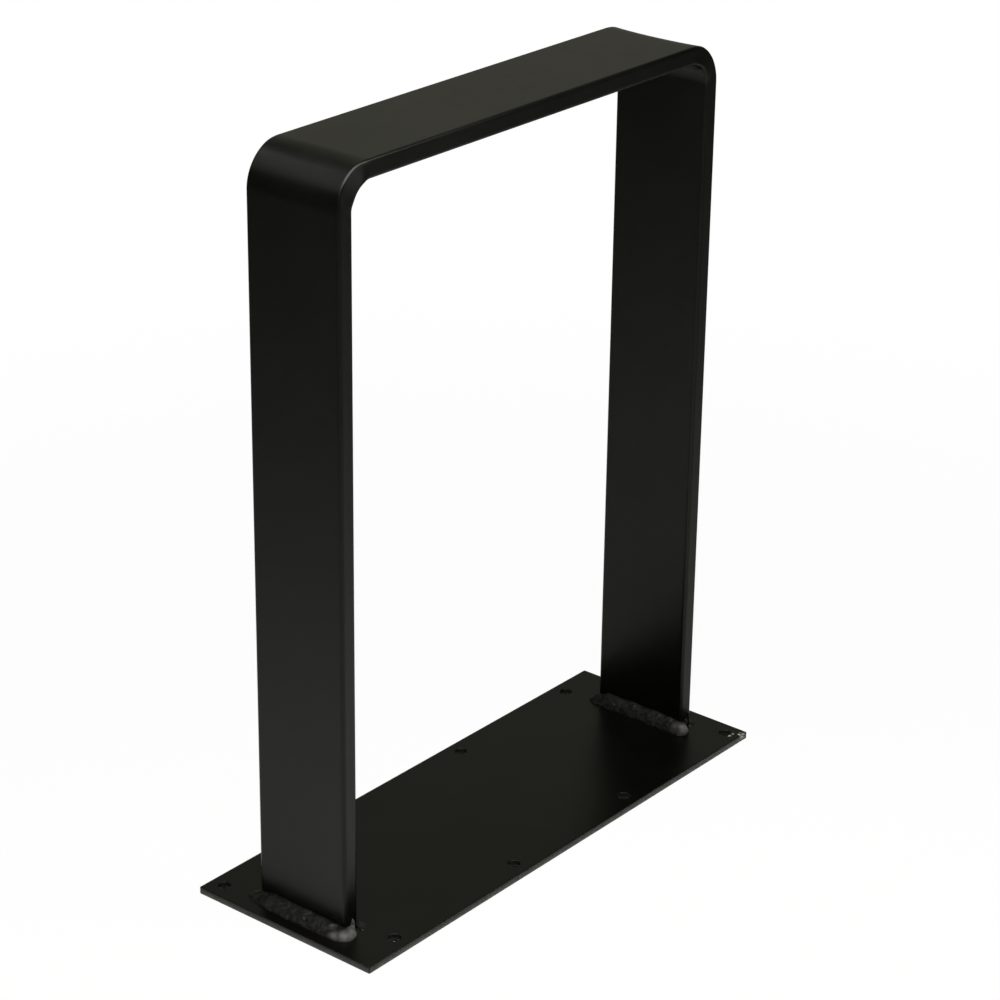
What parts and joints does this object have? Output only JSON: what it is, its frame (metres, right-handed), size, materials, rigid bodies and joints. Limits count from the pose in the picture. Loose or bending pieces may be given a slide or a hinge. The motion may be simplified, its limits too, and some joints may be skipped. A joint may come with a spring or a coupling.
{
  "type": "table leg",
  "caption": "U-shaped table leg bent from black powder-coated flat steel bar, welded at both ends to a thin rectangular screw plate that fixes under a table or bench top.",
  "frame": {"origin": "centre of the screw plate's underside, the face that lies against the table top", "axes": "+X along the plate's long side and the U's cross run, +Y across the bar's width, +Z from the plate towards the cross run, which is the foot in use"},
  "size_m": [0.33, 0.12, 0.415],
  "materials": {
    "bar_coat": "satin black powder coat on rolled flat bar",
    "plate_coat": "satin black powder coat on sheared plate",
    "weld_coat": "black powder coat over a rough weld bead"
  },
  "bodies": {
    "root": {"bent_bar": "bar_coat", "mounting_plate": "plate_coat", "weld_left_outer": "weld_coat", "weld_left_inner": "weld_coat", "weld_right_inner": "weld_coat", "weld_right_outer": "weld_coat"}
  },
  "joints": []
}
